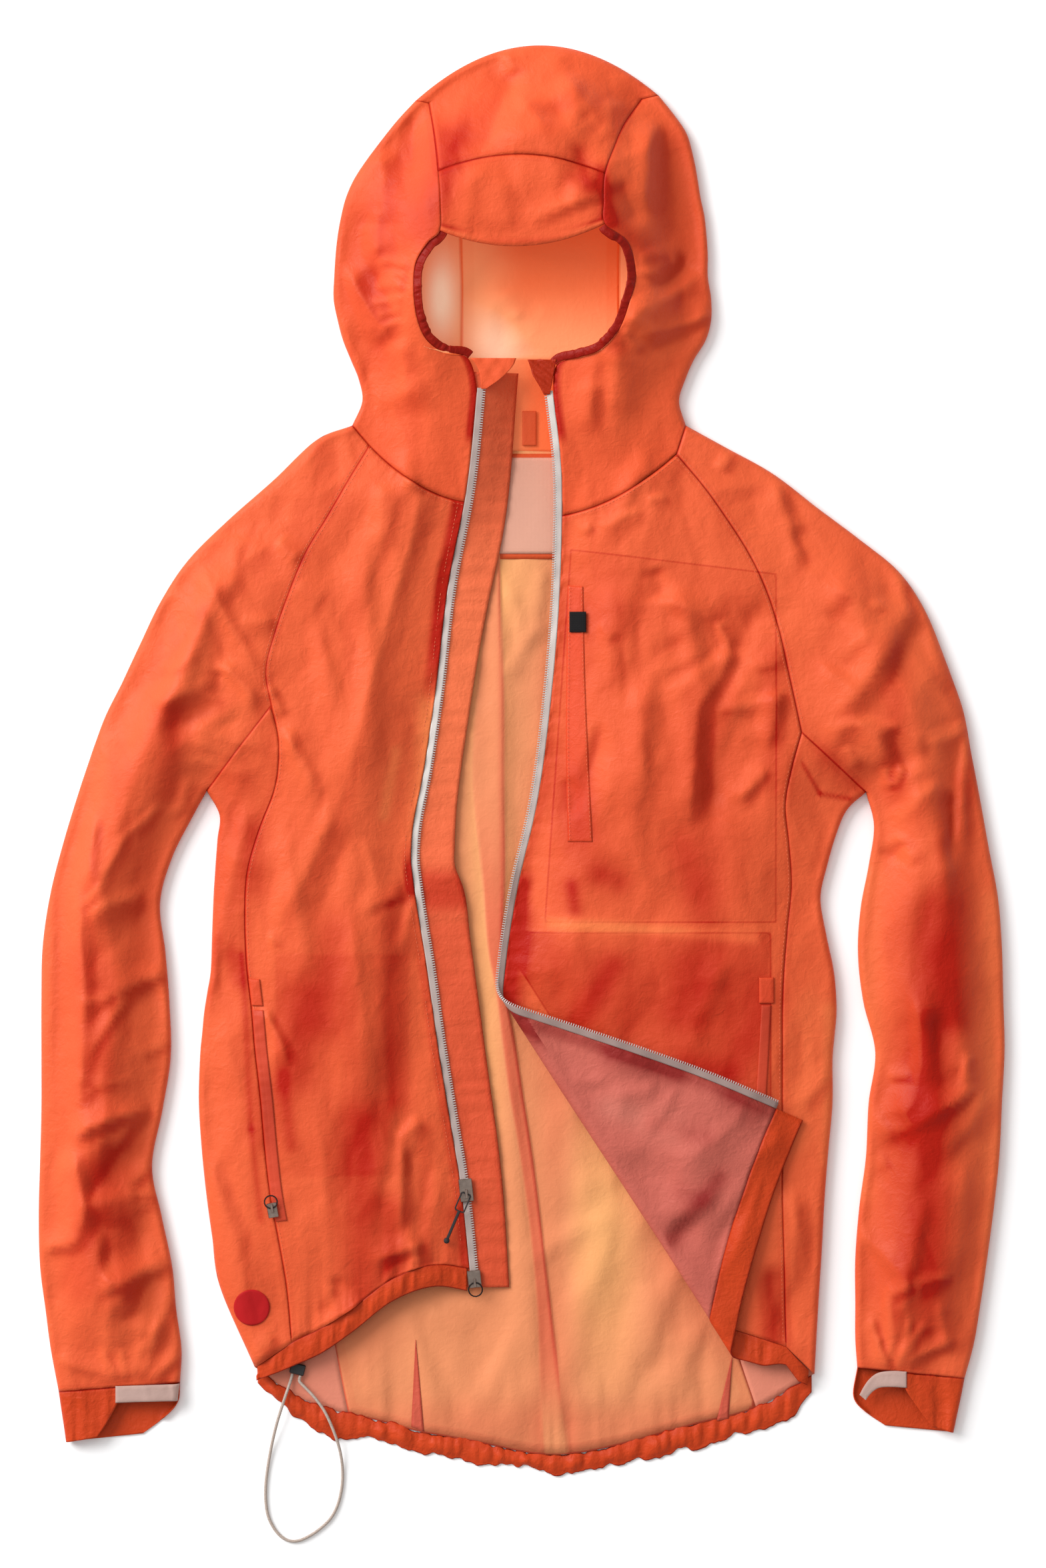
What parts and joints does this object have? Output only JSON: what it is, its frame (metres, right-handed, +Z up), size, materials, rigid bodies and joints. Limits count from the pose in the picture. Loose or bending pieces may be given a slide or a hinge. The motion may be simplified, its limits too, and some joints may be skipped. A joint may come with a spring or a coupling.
{
  "type": "shell jacket",
  "caption": "Thin hooded shell jacket laid flat on its back, front zip open at the top and the left front's lower corner turned back.",
  "frame": {"origin": "bottom centre of the bounding box, without the free hem cord", "axes": "+Y towards the hood, +X towards the wearer's left, +Z up from the surface that the back lies on"},
  "size_m": [0.724, 1.1226, 0.0466],
  "materials": {
    "shell": "thin plain-weave shell cloth, slightly shiny",
    "back_inside": "inside of the shell cloth, paler",
    "shell_double": "shell cloth in two or more layers",
    "zip_tape": "woven zip tape, matt",
    "label": "woven label, bare",
    "tab_grey": "hook-and-loop strap, matt",
    "zip_metal": "dull metal",
    "tab_black": "woven tab, bare",
    "lock_black": "moulded",
    "patch_red": "smooth, bare",
    "elastic": "round elastic cord"
  },
  "bodies": {
    "jacket": {"side_right": "shell", "side_left": "shell", "front_right": "shell", "front_left": "shell", "sleeve_front_right": "shell", "sleeve_back_right": "shell", "sleeve_front_left": "shell", "sleeve_back_left": "shell", "hood_side_right": "shell", "hood_side_left": "shell", "hood_centre": "shell", "hood_brim": "shell", "chin_guard": "shell", "chest_welt": "shell", "zip_garage_right": "shell", "zip_garage_left": "shell", "back": "back_inside", "cuff_right": "shell_double", "cuff_left": "shell_double", "hem_back": "shell_double", "hem_front_right": "shell_double", "hem_front_left": "shell_double", "face_binding_right": "shell_double", "face_binding_left": "shell_double", "storm_flap": "shell_double", "chest_pocket_bag": "shell_double", "hand_pocket_bag_right": "shell_double", "hand_pocket_bag_left": "shell_double", "pocket_zip_right": "shell_double", "pocket_zip_left": "shell_double", "label_backing": "shell_double", "hang_loop": "shell_double", "zip_tape_right": "zip_tape", "zip_tape_left": "zip_tape", "neck_label": "label", "cuff_tab_right": "tab_grey", "cuff_tab_left": "tab_grey", "slider_upper": "zip_metal", "slider_lower": "zip_metal", "pocket_slider_right": "zip_metal", "tab_label": "tab_black", "cord_lock": "lock_black", "round_patch": "patch_red", "hem_cord": "elastic"},
    "puller_upper": {"puller_upper": "zip_metal"},
    "puller_lower": {"puller_lower": "zip_metal"},
    "puller_pocket": {"puller_pocket": "zip_metal"}
  },
  "joints": [
    {"name": "pull_upper_lift", "type": "hinge", "parent": "jacket", "child": "puller_upper", "pos_m": [-0.04133, -0.32549, 0.01069], "axis": [-0.9203, 0.3913, 0], "range_deg": [0, 150]},
    {"name": "pull_lower_lift", "type": "hinge", "parent": "jacket", "child": "puller_lower", "pos_m": [-0.03512, -0.39218, 0.01055], "axis": [-0.9942, -0.1078, 0], "range_deg": [0, 150]},
    {"name": "pull_pocket_lift", "type": "hinge", "parent": "jacket", "child": "puller_pocket", "pos_m": [-0.18629, -0.33543, 0.02332], "axis": [0.9838, 0.179, 0], "range_deg": [0, 150]}
  ]
}
